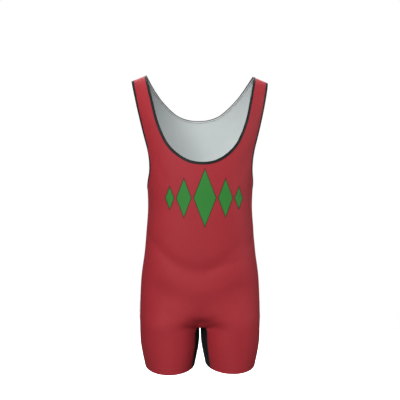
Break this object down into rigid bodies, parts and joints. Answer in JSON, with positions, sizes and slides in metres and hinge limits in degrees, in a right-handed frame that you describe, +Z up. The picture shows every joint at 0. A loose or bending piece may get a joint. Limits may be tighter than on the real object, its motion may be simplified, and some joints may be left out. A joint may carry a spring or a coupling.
{
  "type": "wrestling singlet",
  "caption": "Red stretch wrestling singlet, filled out as it is worn, with wide shoulder straps, a deep front neckline, black bindings, a black crotch gusset and short legs.",
  "frame": {"origin": "midway between the two shoulder straps, at the height where their undersides rest on the shoulders", "axes": "+Z up along the body, -Y out of the front, +X to the wearer's left"},
  "size_m": [0.3672, 0.2281, 0.7722],
  "materials": {
    "red_cloth": "smooth warp-knit stretch cloth with a slight sheen, plain red outside and pale grey inside",
    "black_trim": "matt black stretch cloth"
  },
  "bodies": {
    "root": {"front_panel": "red_cloth", "back_panel": "red_cloth", "crotch_gusset": "black_trim", "neck_binding": "black_trim", "left_armhole_binding": "black_trim", "right_armhole_binding": "black_trim"}
  },
  "joints": []
}
